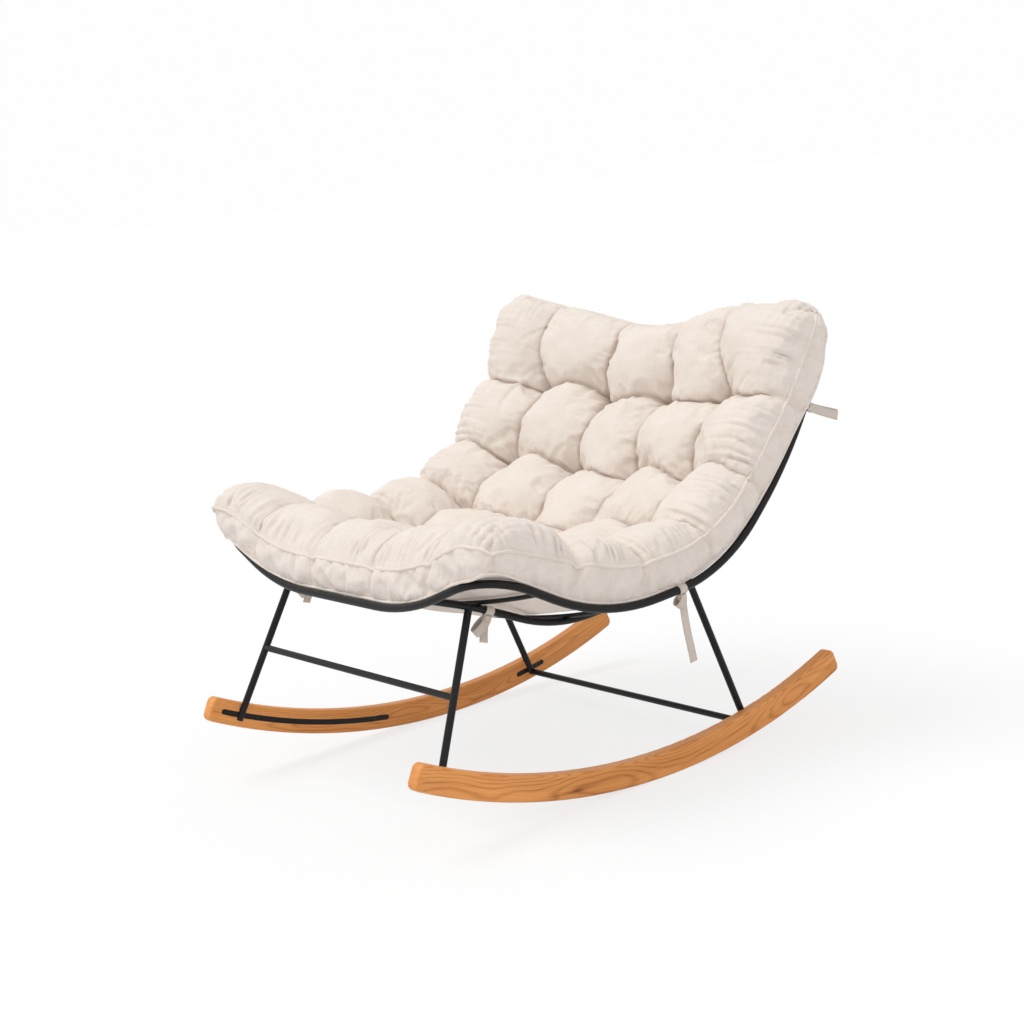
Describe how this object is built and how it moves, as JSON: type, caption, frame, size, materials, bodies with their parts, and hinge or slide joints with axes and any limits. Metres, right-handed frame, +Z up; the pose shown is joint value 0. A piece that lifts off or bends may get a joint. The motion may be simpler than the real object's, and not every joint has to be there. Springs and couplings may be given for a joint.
{
  "type": "rocking chair",
  "caption": "Wide rocking chair: a bent steel tube frame on curved wooden rockers, with one deeply tufted cushion over seat and back, tied to the frame.",
  "frame": {"origin": "on the floor, at the middle of the chair's box seen from above; the empty chair rests in balance, with its rockers on the floor 48 mm behind the origin", "axes": "+Z up, -Y towards the front of the seat, +X to the sitter's left"},
  "size_m": [0.876, 0.9924, 0.7871],
  "materials": {
    "frame_steel": "satin black powder coat",
    "screw_steel": "blackened screw",
    "rocker_wood": "oiled hardwood, orange-brown",
    "cushion_fabric": "matte warm off-white cloth",
    "tie_fabric": "matte warm off-white cloth tape"
  },
  "bodies": {
    "root": {"seat_rim": "frame_steel", "seat_bearer_left": "frame_steel", "seat_bearer_right": "frame_steel", "cross_rod_1": "frame_steel", "cross_rod_2": "frame_steel", "cross_rod_3": "frame_steel", "cross_rod_4": "frame_steel", "cross_rod_5": "frame_steel", "cross_rod_6": "frame_steel", "front_leg_left": "frame_steel", "front_leg_right": "frame_steel", "rear_leg_left": "frame_steel", "rear_leg_right": "frame_steel", "front_crossbar": "frame_steel", "rear_crossbar": "frame_steel", "front_mount_bar_left": "frame_steel", "front_mount_bar_right": "frame_steel", "rear_mount_bar_left": "frame_steel", "rear_mount_bar_right": "frame_steel", "bar_screws": "screw_steel", "rocker_left": "rocker_wood", "rocker_right": "rocker_wood", "seat_cushion": "cushion_fabric", "tie_front_left": "tie_fabric", "tie_front_right": "tie_fabric", "tie_side_left": "tie_fabric", "tie_side_right": "tie_fabric", "tie_back_left": "tie_fabric", "tie_back_right": "tie_fabric"}
  },
  "joints": []
}
